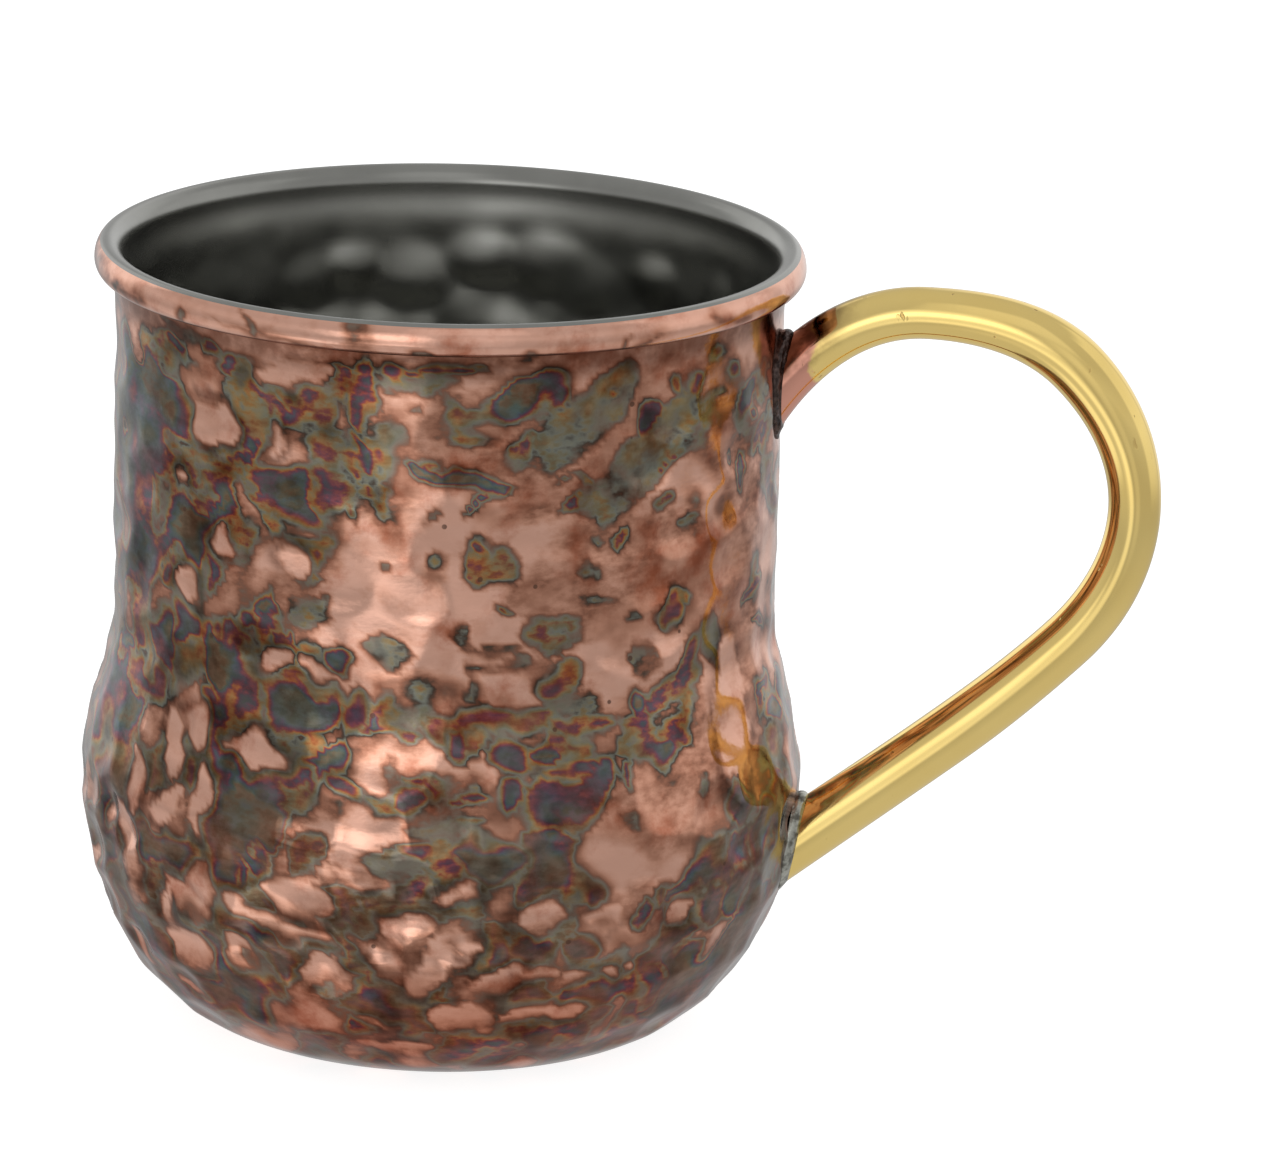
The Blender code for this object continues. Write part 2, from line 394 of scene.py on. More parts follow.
def brass_handle(surface, outside):
    """The bent rod, with each side cut where it meets the wall."""
    start = crossing(outside, ROD_SUNK, False)
    end = crossing(outside, ROD_SUNK, True)
    share = np.linspace(0, 1, ROD_RINGS)[:, None]
    rings = along_sides(surface, start + (end - start) * share)
    caps = [np.broadcast_to(ring.mean(0), ring.shape) for ring in (rings[0], rings[-1])]
    points = np.concatenate([caps[:1], rings, caps[1:]])
    return grid_mesh("brass_handle", points, False)[0]


def fillet(name, surface, outside, last, on_rod, on_wall, swell, lumps):
    """A ring of filler metal in the corner between the rod and the wall.

    on_rod and on_wall are its reach above the rod, level with it and below it. swell is how full it is,
    and lumps is the height of the lumps on it.
    """
    root = crossing(outside, 0.0, last)
    foot = along_sides(surface, root)
    ahead = -3.0 if last else 3.0
    rod_way = along_sides(surface, root + ahead) - foot
    rod_way /= np.linalg.norm(rod_way, axis=1)[:, None]
    centre = foot.mean(0)
    slope = (wall_radius(foot[:, 2] + 0.1) - wall_radius(foot[:, 2] - 0.1)) / 0.2
    round_unit = foot[:, :2] / np.linalg.norm(foot[:, :2], axis=1)[:, None]
    normal = np.column_stack([round_unit, -slope])
    normal /= np.linalg.norm(normal, axis=1)[:, None]
    wall_way = foot - centre
    wall_way -= normal * np.sum(wall_way * normal, 1)[:, None]
    wall_way /= np.linalg.norm(wall_way, axis=1)[:, None]
    height = (foot[:, 2] - centre[2]) / np.abs(foot[:, 2] - centre[2]).max()
    rod_reach = np.interp(height, [-1, 0, 1], on_rod[::-1])[:, None]
    wall_reach = np.interp(height, [-1, 0, 1], on_wall[::-1])[:, None]
    rod_out = np.cross(rod_way, np.cross(foot - centre, rod_way))
    rod_out /= np.linalg.norm(rod_out, axis=1)[:, None]
    top = foot + rod_way * rod_reach
    edge = foot + wall_way * wall_reach
    edge[:, :2] *= (wall_radius(edge[:, 2]) / np.hypot(edge[:, 0], edge[:, 1]))[:, None]
    pull = foot + (rod_way * rod_reach + wall_way * wall_reach) * swell
    rows = []
    for t in np.linspace(0, 1, FILLET_ROWS):
        rows.append(top * (1 - t) ** 2 + 2 * pull * t * (1 - t) + edge * t**2)
    into_wall, into_rod = normal * FILLET_SUNK, rod_out * FILLET_SUNK
    rows += [edge - into_wall, foot - into_wall - rod_out * 0.2, top - into_rod]
    points = np.array(rows)
    face = slice(1, FILLET_ROWS - 1)
    points[face] += lumps * ripple(points[face], LUMP_SIZE, 2.9)[..., None] * normal
    if last:
        points = points[::-1]
    return grid_mesh(name, points, True)[0]


# Materials ---------------------------------------------------------------------------------------


def linear(red, green, blue):
    """A colour given as it shows on a screen, 0 to 255, as linear light."""
    shares = [c / 255 for c in (red, green, blue)]
    return tuple(c / 12.92 if c < 0.04045 else ((c + 0.055) / 1.055) ** 2.4 for c in shares)


class Finish:
    """One metal's nodes. A method that adds a node returns the socket with its result."""

    def __init__(self, name, roughness=0.2):
        self.material = bpy.data.materials.new(name)
        self.material.use_nodes = True
        self.tree = self.material.node_tree
        self.shader = self.tree.nodes["Principled BSDF"]
        self.shader.inputs["Metallic"].default_value = 1.0
        self.shader.inputs["Roughness"].default_value = roughness
        self.place = self.tree.nodes.new("ShaderNodeTexCoord").outputs["Object"]

    def put(self, socket, value):
        """Link a socket to another's result, or set it to a number or a colour."""
        if isinstance(value, bpy.types.NodeSocket):
            self.tree.links.new(value, socket)
        elif isinstance(value, tuple) and len(value) == 3 and socket.type == "RGBA":
            socket.default_value = (*value, 1.0)
        else:
            socket.default_value = value

    def node(self, kind, inputs, output=0, **settings):
        made = self.tree.nodes.new("ShaderNode" + kind)
        for key, value in settings.items():
            setattr(made, key, value)
        for key, value in inputs.items():
            self.put(made.inputs[key], value)
        return made.outputs[output]

    def math(self, operation, a, b):
        return self.node("Math", {0: a, 1: b}, operation=operation)

    def between(self, value, low, high, to_low=0.0, to_high=1.0):
        """The value's place between low and high, as a value between to_low and to_high."""
        inputs = {"Value": value, 1: low, 2: high, 3: to_low, 4: to_high}
        return self.node("MapRange", inputs, interpolation_type="SMOOTHSTEP")

    def point_value(self, name):
        """A value that add_values has given to each point."""
        return self.node("Attribute", {}, output="Fac", attribute_name=name)

    def axis(self, name):
        return self.node("SeparateXYZ", {0: self.place}, output=name)

    def by_height(self, low, high):
        """0 at a height of low and 1 at high, in millimetres."""
        return self.between(self.axis("Z"), low * MM, high * MM)

    def stretched(self, x, y, z):
        """Places for a noise whose bumps are shorter along the axes with a scale over 1."""
        return self.node("Mapping", {"Vector": self.place, "Scale": (x, y, z)})

    def noise(self, size, detail=3.0, seed=0.0, at=None, rough=0.5):
        """Noise about 0.5 with bumps of a size in millimetres."""
        inputs = {"W": seed, "Scale": 1 / (size * MM), "Detail": detail, "Roughness": rough}
        inputs["Vector"] = at or self.place
        return self.node("TexNoise", inputs, noise_dimensions="4D")

    def ramp(self, value, stops, smooth="LINEAR"):
        """A colour for each value: stops are (place, colour) pairs."""
        made = self.tree.nodes.new("ShaderNodeValToRGB")
        made.color_ramp.interpolation = smooth
        elements = made.color_ramp.elements
        while len(elements) < len(stops):
            elements.new(1.0)
        for element, (place, colour) in zip(elements, stops):
            element.position = place
            element.color = (*colour, 1.0)
        self.put(made.inputs["Fac"], value)
        return made.outputs["Color"]

    def mix(self, share, a, b, blend="MIX"):
        """The colour b over the colour a. Input 0 is the share, and 6, 7 and output 2 are for colours."""
        made = self.tree.nodes.new("ShaderNodeMix")
        made.data_type = "RGBA"
        made.blend_type = blend
        for key, value in ((0, share), (6, a), (7, b)):
            self.put(made.inputs[key], value)
        return made.outputs[2]

    def tinted(self, share, colour, tint):
        """The colour, multiplied by a tint as far as share says."""
        return self.mix(share, colour, self.mix(1.0, colour, tint, "MULTIPLY"))

    def bump(self, height, distance, strength=1.0):
        """Bumps, or dents where the distance in millimetres is less than 0, as high as height times it."""
        return self.node("Bump", {"Height": height, "Distance": distance * MM, "Strength": strength})

    def finish(self, piece, **inputs):
        """Set the shader's sockets and give the piece this material and no other."""
        for key, value in inputs.items():
            self.put(self.shader.inputs[key.replace("_", " ").title()], value)
        piece.data.materials.clear()
        piece.data.materials.append(self.material)


# Film thickness on the copper and the colour that it shows.
FILM_COLOURS = (
    (0.00, (236, 184, 162)),
    (0.16, (214, 158, 133)),
    (0.30, (166, 114, 92)),
    (0.37, (134, 92, 75)),
    (0.40, (106, 79, 66)),
    (0.44, (84, 72, 63)),
    (0.47, (104, 102, 94)),
    (0.51, (136, 137, 126)),
    (0.56, (162, 148, 120)),
    (0.61, (190, 148, 110)),
    (0.65, (186, 118, 88)),
    (0.69, (156, 84, 92)),
    (0.735, (122, 80, 98)),
    (0.78, (104, 98, 114)),
    (0.84, (96, 112, 118)),
    (0.90, (102, 114, 106)),
    (0.96, (128, 122, 104)),
    (1.00, (140, 114, 94)),
)
OUTLINE = 0.37, 0.5  # the places between which it is darkest
THICK_FILM = 0.46, 0.6  # thin up to the first, thick from the second

# Heights, in millimetres, over which the finishes change.
BELLY_FADE = 48.0, 30.0  # from the neck's film to the belly's duller one
BASE_FADE = 22.0, 8.0  # to the redder copper round the base
CREST_FADE = 96.5, 99.5  # to the lining's worn crest

# Near the upper joint the rod has a painted reflection of the copper body and soot from the brazing: heights
# first, then x for the reflection and for the soot, and z less x for the soot's top.
REFLECTION_AND_SOOT_FROM = 66.0, 70.0  # heights, which leave the rod's lower end out
PAINTED_REFLECTION_END = 47.8, 46.6
SOOT_END = 56.0, 47.0
SOOT_TOP = 42.5, 46.5


def uneven_film(look, feather):
    """The film's thickness with blotches and feathery edges that the mesh's points are too far apart for."""
    wide = look.between(look.noise(4.2, 2.0, 1.0, rough=0.4), 0.25, 0.75, -0.09, 0.09)
    fringe = look.between(look.noise(9.0, 2.0, 41.0), 0.4, 0.6, 0.012, 0.075)
    feathered = look.math("MULTIPLY", look.between(feather, 0.25, 0.75, -1.0, 1.0), fringe)
    return look.math("ADD", look.point_value("film"), look.math("ADD", wide, feathered))


def film_colour(look, film, belly, base):
    """The colour of the film: outlined in dark in places, dull in others, and cooler or more golden."""
    crisp = [(place, linear(*colour)) for place, colour in FILM_COLOURS]
    soft = [stop for stop in crisp if not OUTLINE[0] < stop[0] < OUTLINE[1]]
    outlined = look.between(look.noise(5.0, 3.0, 8.0), 0.46, 0.58)
    outlined = look.math("MULTIPLY", outlined, look.between(belly, 0.0, 1.0, 1.0, 0.35))
    colour = look.mix(outlined, look.ramp(film, soft, "B_SPLINE"), look.ramp(film, crisp))
    thick = look.between(film, *THICK_FILM)
    cloud = look.between(look.noise(7.0, 4.0, 14.0), 0.35, 0.65)
    cloud = look.math("MAXIMUM", cloud, look.math("MULTIPLY", base, 0.8))
    muted = look.mix(cloud, linear(120, 109, 96), linear(142, 98, 80))
    dull = look.math("MULTIPLY", thick, look.between(look.noise(4.5, 4.0, 17.0), 0.35, 0.56))
    dull = look.math("MULTIPLY", dull, look.between(belly, 0.0, 1.0, 0.22, 0.8))
    colour = look.mix(dull, colour, muted)
    tone = look.between(look.noise(4.5, 3.0, 51.0, look.stretched(1.1, 1.1, 0.7)), 0.36, 0.64)
    tone = look.mix(tone, linear(206, 226, 234), linear(255, 238, 200))
    toned = look.math("MULTIPLY", thick, look.between(belly, 0.0, 1.0, 0.9, 0.5))
    toned = look.math("MULTIPLY", toned, look.between(film, 0.72, 0.64, 0.25, 1.0))
    return look.tinted(toned, colour, tone)


def copper_finish(piece):
    """Copper with its film, and over that faint streaks, brown haze, painted shade, specks and polishing
    lines.
    """
    look = Finish("flame_patina_copper")
    belly, base = look.by_height(*BELLY_FADE), look.by_height(*BASE_FADE)
    feather = look.noise(1.1, 3.0, 2.0, look.stretched(0.7, 0.7, 1.2))
    film = uneven_film(look, feather)
    colour = film_colour(look, film, belly, base)
    streaks = look.math("MULTIPLY", look.between(film, *THICK_FILM), look.between(feather, 0.35, 0.65))
    colour = look.tinted(streaks, colour, linear(224, 224, 220))
    brown = look.between(look.noise(6.5, 5.0, 11.0, rough=0.6), 0.48, 0.74)
    colour = look.tinted(brown, colour, linear(206, 164, 144))
    # Painted shade: the shade values, broken up by noise, darken the colour in the film's pockets, round
    # bare windows and under the bead.
    patchy = look.between(look.noise(2.0, 3.0, 21.0), 0.2, 0.6, 0.55, 0.9)
    soot_and_painted_shade = look.math("MULTIPLY", look.point_value("shade"), patchy)
    colour = look.tinted(soot_and_painted_shade, colour, linear(140, 124, 116))
    away = look.node("TexVoronoi", {"Vector": look.place, "Scale": 1 / (4.5 * MM)}, output="Distance")
    specked = look.between(look.noise(12.0, 2.0, 19.0), 0.5, 0.55)
    speck = look.math("MULTIPLY", look.between(away, 0.09, 0.06), specked)
    colour = look.mix(look.math("MULTIPLY", speck, 0.8), colour, linear(96, 70, 58))
    colour = look.tinted(base, colour, linear(240, 212, 200))
    lines = look.noise(0.9, 3.0, 5.0, look.stretched(0.12, 0.12, 1.0))
    rough = look.between(lines, 0.3, 0.7, 0.09, 0.16)
    waves = look.noise(2.6, 3.0, 31.0, look.stretched(0.6, 0.6, 1.0))
    look.finish(piece, base_color=colour, roughness=rough, normal=look.bump(waves, 0.16, 0.5))


def lining_finish(piece):
    """Satin grey metal, a little darker on the worn crest."""
    look = Finish("satin_steel", 0.25)
    cloud = look.noise(9.0, 4.0, 2.0)
    colour = look.mix(cloud, linear(172, 172, 167), linear(194, 194, 189))
    worn = look.mix(cloud, linear(132, 132, 128), linear(164, 164, 159))
    look.finish(piece, base_color=look.mix(look.by_height(*CREST_FADE), colour, worn))


def brass_finish(piece):
    """Polished brass with a painted, copper-coloured reflection of the body at its upper end, and soot on
    top.
    """
    look = Finish("polished_brass", 0.1)
    cloud = look.noise(11.0, 4.0, 7.0)
    colour = look.mix(cloud, linear(246, 212, 126), linear(253, 226, 148))
    ragged = look.between(look.noise(4.0, 4.0, 9.0), 0.2, 0.8, -2.2 * MM, 2.2 * MM)
    out = look.math("ADD", look.axis("X"), ragged)
    above = look.math("ADD", look.math("SUBTRACT", look.axis("Z"), look.axis("X")), ragged)
    reflection_and_soot = look.by_height(*REFLECTION_AND_SOOT_FROM)
    # Painted reflection of the copper body on the rod's end by the wall.
    painted_copper_reflection = look.math("MULTIPLY", look.between(out, *(x * MM for x in PAINTED_REFLECTION_END)), reflection_and_soot)
    colour = look.mix(painted_copper_reflection, colour, linear(222, 160, 140))
    soot_and_painted_shade = look.between(above, *(z * MM for z in SOOT_TOP))
    soot_and_painted_shade = look.math("MULTIPLY", soot_and_painted_shade, look.between(out, *(x * MM for x in SOOT_END)))
    soot_and_painted_shade = look.math("MULTIPLY", soot_and_painted_shade, reflection_and_soot)
    colour = look.mix(look.math("MULTIPLY", soot_and_painted_shade, 0.85), colour, linear(92, 62, 44))
    scratch = look.noise(0.5, 2.0, 3.0, look.stretched(1.0, 0.12, 0.12))
    nick = look.between(look.noise(0.7, 2.0, 13.0, look.stretched(0.5, 1.0, 0.3)), 0.68, 0.74)
    nick = look.math("MULTIPLY", nick, look.between(look.noise(9.0, 2.0, 23.0), 0.5, 0.6))
    colour = look.mix(nick, colour, linear(186, 148, 84))
    rough = look.between(scratch, 0.35, 0.75, 0.06, 0.13)
    look.finish(piece, base_color=colour, roughness=rough, normal=look.bump(nick, -0.1, 0.6))


def braze_finish(piece):
    """Rough, nearly black brazing metal."""
    look = Finish("dark_braze", 0.3)
    lumps = look.noise(0.9, 3.0)
    colour = look.mix(look.between(lumps, 0.3, 0.7), linear(46, 38, 36), linear(104, 88, 84))
    look.finish(piece, base_color=colour, normal=look.bump(lumps, 0.5, 0.8))


def solder_finish(piece):
    """Dull grey solder."""
    look = Finish("tin_solder", 0.25)
    lumps = look.noise(1.0, 3.0, 6.0)
    colour = look.mix(look.between(lumps, 0.35, 0.6), linear(100, 98, 90), linear(180, 180, 170))
    look.finish(piece, base_color=colour, normal=look.bump(lumps, 0.15, 0.8))


# Patina ------------------------------------------------------------------------------------------

# Film thicknesses, as places in FILM_COLOURS.
BARE, TARNISH, BROWN, SMOKE, DARK = 0.0, 0.22, 0.33, 0.36, 0.43
SAGE, TAN, ORANGE = 0.54, 0.60, 0.65
MAGENTA, PURPLE, SLATE, TEAL, OLIVE = 0.69, 0.735, 0.78, 0.84, 0.95

# Pools of film on the side that faces the camera, each over the ones before it: degrees to the right of
# the front, height, half the width, half the height, tilt and film.
PATCHES = (
    # Light brown tarnish over wide stretches.
    (27, 86, 20, 8, 20, TARNISH), (34, 68, 17, 9, 0, TARNISH), (40, 42, 13, 10, 0, TARNISH),
    (6, 86, 12, 7, -15, TARNISH), (62, 60, 6, 34, 0, TARNISH), (16, 24, 24, 5, 0, TARNISH),
    # Neck, upper left.
    (-26, 78, 8, 4, 0, TEAL), (-38, 82, 3, 1.5, 15, PURPLE), (-18, 80, 3, 4, 10, PURPLE),
    (-46, 81, 8, 1.5, -8, TAN), (-52, 92, 3, 2, 0, TAN), (-49, 96, 4, 1, 0, DARK),
    (-42, 95, 2, 1.5, 0, TEAL), (-38, 93, 2, 2, 0, TEAL), (-33, 87, 2.5, 3, 0, SAGE),
    (-27, 91, 2, 2, 0, TAN), (-19, 95, 1.5, 1, 0, SAGE), (-33, 77, 2.2, 0.8, 0, TAN),
    (-28, 74, 2, 1, 0, MAGENTA), (-21, 73, 4, 1, 0, TAN), (-47, 78, 3, 1.5, 0, TEAL),
    (-56, 74, 2, 3, 0, MAGENTA), (-45, 76, 3, 2, 0, ORANGE), (-14, 77, 1, 2, 0, TAN),
    (-43, 86, 4, 3, 10, BARE), (-24, 94, 5, 2, 10, BARE), (-29, 85, 1, 2, 0, BARE),
    (-38, 71, 1.4, 2, 0, BARE), (-50, 78, 1, 1, 0, BARE),
    # The bead.
    (-12, 99.6, 2.2, 3, 0, SMOKE), (-33, 99.4, 0.3, 1.3, 20, DARK), (-46, 99, 0.4, 0.8, 0, DARK),
    (14, 98.6, 1.2, 0.3, 0, DARK), (30, 99, 0.3, 0.9, 0, DARK), (-3, 99, 0.6, 0.3, 0, DARK),
    (-84, 99.6, 12, 3, 0, BROWN), (20, 98.4, 13, 0.8, 0, BROWN), (-28, 98.5, 9, 0.8, 0, BROWN),
    (52, 99.4, 5, 1.2, 0, BROWN), (-62, 99.0, 5, 1.5, 0, BROWN),
    # Neck, upper middle.
    (-12, 92, 2, 5, 0, SLATE), (-7, 96, 2, 1.5, 0, PURPLE), (1, 96, 5, 1, 0, SLATE),
    (-2, 94, 5, 1.2, 0, SAGE), (-4, 91, 1, 0.7, 0, SAGE), (-16, 87, 5, 1.2, 0, SAGE),
    (-8, 87, 2, 2, 0, SAGE), (-9, 82, 2, 3, 0, TAN), (-13, 82, 1, 1.2, 0, TAN), (-13, 85, 1, 3, 0, TEAL),
    (6, 87, 2.5, 1.8, 0, ORANGE), (3, 82, 7, 1.3, -5, OLIVE), (6, 79, 0.8, 3, -30, OLIVE),
    (14, 86, 3.3, 1.5, 30, PURPLE), (8, 72, 3.2, 3.6, 20, ORANGE), (7, 74, 1.2, 1, 0, TEAL),
    (5, 70, 1.5, 1, 0, PURPLE), (0, 72, 1, 1, 0, SAGE), (-2, 77, 1.3, 0.7, 0, DARK),
    (-2, 84, 1.5, 0.6, 20, MAGENTA),
    # Neck, upper right: two bands that rise to the right.
    (26, 90, 10, 3.6, 38, SAGE), (28, 92, 1.4, 0.7, 0, PURPLE), (22, 82, 2.4, 0.7, 0, ORANGE),
    (25, 81, 1.2, 0.9, 0, MAGENTA), (24, 78, 3, 1.6, 30, SLATE), (33, 80, 7, 3.2, 28, SAGE),
    (42, 85, 10, 4.6, 28, SAGE), (51, 88, 3, 2, 20, SAGE), (44, 92, 2, 1.3, 0, MAGENTA),
    (49, 92, 1.5, 2, 0, PURPLE), (42, 81, 3, 0.8, 20, PURPLE), (42, 77, 1.6, 0.8, 0, PURPLE),
    (47, 75, 2, 0.8, 30, SAGE), (28, 73, 0.9, 0.9, 0, SAGE), (33, 73, 1, 2, 0, MAGENTA),
    (66, 84, 1.3, 1, 0, OLIVE), (63, 77, 1.6, 3, 0, OLIVE), (58, 80, 1, 1, 0, OLIVE),
    # Neck and waist, left.
    (-51, 66, 3, 3, 0, PURPLE), (-49, 58, 3, 4, 0, TEAL), (-43, 66, 1, 3, 0, SAGE),
    (-41, 59, 1.5, 1.5, 0, MAGENTA), (-35, 62, 2, 2, 0, TEAL), (-31, 61, 2.3, 3.2, 0, PURPLE),
    (-22, 68, 2.5, 1.5, 0, TAN), (-22, 63, 3, 1.5, 0, SAGE), (-20, 59, 2.5, 1.5, 0, ORANGE),
    (-25, 58, 1.2, 3, 0, TEAL), (-23, 52, 7, 4, 0, TEAL), (-13, 52, 2.5, 3, 0, MAGENTA),
    (-23, 54, 3, 0.7, 0, ORANGE), (-47, 54, 3, 3, 0, TAN), (-41, 51, 2, 1.5, 0, PURPLE),
    (-58, 50, 6, 3, 0, SLATE), (-58, 53, 1.5, 4, 0, TAN), (-24, 43, 4, 2, 0, TEAL),
    (-21, 47, 2, 1.5, 0, ORANGE), (-47, 64, 1.3, 2.2, 0, BARE), (-24, 70, 3, 2.4, 0, BARE),
    (-28, 57, 2.5, 2.2, 0, BARE), (-42, 47, 2.5, 3, 0, BARE), (-48, 44, 1.8, 5, 0, BARE),
    (-30, 46, 4, 2.4, 0, BARE),
    # Neck and waist, middle.
    (-8, 70, 0.9, 0.7, 0, SAGE), (12, 65, 0.9, 0.9, 0, SLATE), (20, 62, 4.6, 3, 0, MAGENTA),
    (21, 62, 2, 1.2, 0, SAGE), (-16, 58, 1.8, 2.3, 0, TEAL), (-9, 60, 3.2, 1.8, -25, SAGE),
    (4, 62, 1.5, 0.9, 0, SAGE), (10, 60, 3.3, 0.5, -12, DARK), (13, 58, 2.5, 0.5, 0, DARK),
    (8, 58, 1, 0.8, 0, SAGE), (8, 55, 1, 1.5, 0, SAGE), (-4, 52, 3.4, 1.8, 10, SAGE),
    (9, 51, 10, 2.2, 3, MAGENTA), (4, 49, 2.2, 1.8, 0, PURPLE), (8, 49, 1.8, 1.2, 0, ORANGE),
    (37, 49, 11, 5, 10, TARNISH), (13, 47, 2.4, 2.4, 0, TEAL), (18, 47, 3, 1.5, 0, OLIVE),
    (21, 56, 2.4, 2.2, 0, MAGENTA),
    # Neck and waist, right.
    (25, 70, 1, 0.8, 0, SAGE), (27, 69, 1, 1, 0, SAGE), (27, 66, 2.5, 0.5, 0, DARK),
    (43, 63, 2.2, 2.6, 0, MAGENTA), (35, 62, 1.8, 0.9, 0, DARK), (38, 57, 2.6, 1.8, 0, DARK),
    (54, 58, 1.6, 4, 0, SAGE), (45, 54, 6, 2.3, 35, MAGENTA), (37, 52, 1.5, 1.8, 0, OLIVE),
    (25, 53, 4, 1.6, 0, SAGE), (25, 50, 5, 1.8, 0, MAGENTA), (44, 46, 3, 1.4, -25, MAGENTA),
    (24, 47, 2.5, 1.4, 0, TAN), (33, 43, 1, 1.6, 0, SLATE), (49, 40, 1.4, 1.8, 0, SAGE),
    (58, 47, 3.5, 11, 0, BARE),
    # Belly, left.
    (-27, 33, 2, 2, 0, PURPLE), (-31, 29, 1.3, 3, 0, TEAL), (-29, 27, 1.4, 3, 0, TAN),
    (-24, 18, 3, 3.4, 0, SLATE), (-17, 21, 3, 1.2, 25, MAGENTA), (-14, 25, 4.5, 1.4, 45, PURPLE),
    (-28, 18, 1, 2, 20, TAN), (-27, 13, 1.6, 0.8, 0, MAGENTA), (-47, 36, 3, 2.6, 20, BARE),
    (-40, 38, 1.4, 5, 0, BARE), (-56, 37, 1.1, 4, 0, BARE), (-58, 29, 2, 5, 12, BARE),
    (-64, 31, 2, 1.4, 0, BARE), (-44, 24, 5, 1.5, -15, BARE), (-49, 21, 1.1, 4, 15, BARE),
    (-45, 17, 4.4, 2.8, -15, BARE), (-32, 18, 2.8, 3.2, 0, BARE), (-30, 18, 1.2, 1.2, 0, DARK),
    (-25, 24, 8, 1.3, -8, BARE), (-21, 28, 4.4, 1.8, 0, BARE), (-18, 18, 2.6, 2.4, 0, BARE),
    (-62, 13, 1, 3, 30, BARE), (-49, 10, 3, 1, -30, BARE),
    # Belly, middle.
    (-13, 42, 3.4, 1.8, -10, SLATE), (-8, 41, 3, 1.6, -10, MAGENTA), (-3, 41, 3, 2, 0, TEAL),
    (-1, 43, 3, 0.8, -20, ORANGE), (-5, 44, 1.2, 2.4, 0, DARK), (3, 42, 1, 4, 0, DARK),
    (6, 43, 1.3, 1.5, 0, ORANGE), (6, 41, 2.2, 1, 0, SLATE), (12, 42, 2, 3, 0, TEAL),
    (2, 38, 5, 1.3, 0, SAGE), (-3, 35, 3, 1.5, 0, SLATE), (7, 34, 7, 3, 0, OLIVE), (2, 33, 3, 2, 0, PURPLE),
    (-6, 33, 4, 2.2, 0, SAGE), (-4, 28, 6, 0.9, 4, SLATE), (-13, 20, 1.3, 4, 35, TEAL),
    (11, 23, 2.4, 4, 0, OLIVE), (-19, 34, 2.2, 3, 0, SLATE), (5, 30, 3, 1.2, 0, BARE),
    (5, 31, 0.8, 0.6, 0, DARK), (-3, 25, 3.5, 2.4, 0, BARE), (1, 20, 2.7, 5.4, -40, BARE),
    (6, 23, 2.4, 1, 20, BARE), (-8, 21, 2.6, 1.6, -20, BARE), (12, 18, 3.8, 1.9, 20, BARE),
    (6, 12, 5, 2.4, 0, BARE), (-12, 31, 5, 0.8, -5, BARE), (-11, 11, 2.5, 0.6, -10, BARE),
    (-6, 7, 5, 1.4, 0, BARE), (17, 12, 3, 1.2, 0, BARE),
    # Belly, right.
    (22, 42, 6.5, 5, 0, SLATE), (23, 45, 4, 1.2, 0, PURPLE), (22, 38, 1.3, 1.2, 0, TAN),
    (33, 38, 1.3, 1.6, 20, DARK), (57, 36, 3, 4, 0, SLATE), (64, 31, 3, 5, 0, OLIVE),
    (38, 27, 1.3, 1.7, 0, PURPLE), (42, 27, 3, 1, 10, OLIVE), (51, 24, 3.6, 3.2, 0, SLATE),
    (58, 25, 4, 4, 0, OLIVE), (35, 25, 1.4, 2.4, 0, SLATE), (25, 21, 3, 2, 0, SLATE),
    (41, 14, 2.2, 4, 0, SLATE), (31, 11, 2, 2, 0, PURPLE), (43, 24, 2.5, 1.3, 15, BARE),
    (28, 25, 3.2, 1.3, 0, BARE), (18, 26, 4, 2.2, 0, BARE), (25, 17, 1.8, 1.1, 0, BARE),
    (31, 17, 1.3, 0.9, 0, BARE), (35, 17, 0.8, 0.9, 0, BARE), (24, 12, 3, 1, 0, BARE),
    (19, 18, 3, 1, 0, BARE),
)
SEEN_TURNS = (-68, 66)  # PATCHES fills this stretch of the wall, and random pools fill the rest
POOLS_OF_EACH = 15

# How much of the wall thin film covers between the pools: a row for each height, with the share at each
# of COVER_TURNS.
COVER_TURNS = (-180, -90, -60, -35, -12, 12, 35, 60, 90, 180)
COVER = (
    (0, (0.4, 0.4, 0.5, 0.4, 0.4, 0.4, 0.6, 0.7, 0.5, 0.4)),
    (15, (0.5, 0.6, 0.7, 0.7, 0.7, 0.7, 0.8, 0.9, 0.6, 0.5)),
    (28, (0.5, 0.6, 0.7, 0.8, 0.6, 0.5, 0.3, 0.6, 0.5, 0.5)),
    (36, (0.4, 0.6, 0.7, 0.7, 0.2, 0.5, 0.1, 0.4, 0.3, 0.4)),
    (50, (0.4, 0.6, 0.8, 0.7, 0.3, 0.3, 0.35, 0.3, 0.3, 0.4)),
    (62, (0.3, 0.5, 0.8, 0.6, 0.0, -0.3, 0.0, 0.2, 0.3, 0.3)),
    (74, (0.4, 0.6, 0.8, 0.7, 0.1, -0.1, 0.0, 0.1, 0.3, 0.4)),
    (86, (0.5, 0.7, 0.9, 0.8, 0.5, 0.3, 0.3, 0.3, 0.3, 0.5)),
    (95, (0.4, 0.5, 0.5, 0.4, 0.4, 0.3, 0.1, 0.1, 0.2, 0.4)),
    (98, (-0.5,) * len(COVER_TURNS)),
)
BEAD_SHADOW_HEIGHTS = 93.4, 96.4, 98.0, 98.6  # painted shadow under the bead


def random_patches():
    """Pools for the part of the wall that PATCHES leaves out."""
    draw = np.random.default_rng(23)
    films = (TEAL, SAGE, TAN, MAGENTA, PURPLE, SLATE, OLIVE, ORANGE, SAGE, BARE, BARE, BARE, DARK)
    patches = []
    for film in films * POOLS_OF_EACH:
        turn = draw.uniform(SEEN_TURNS[1], SEEN_TURNS[0] + 360)
        share = 0.35 if film == DARK else 1.0
        across, up = share * draw.uniform(1.2, 4.6), share * draw.uniform(0.9, 3.2)
        patches.append((turn, draw.uniform(8, 94), across, up, draw.uniform(-35, 35), film))
    return patches


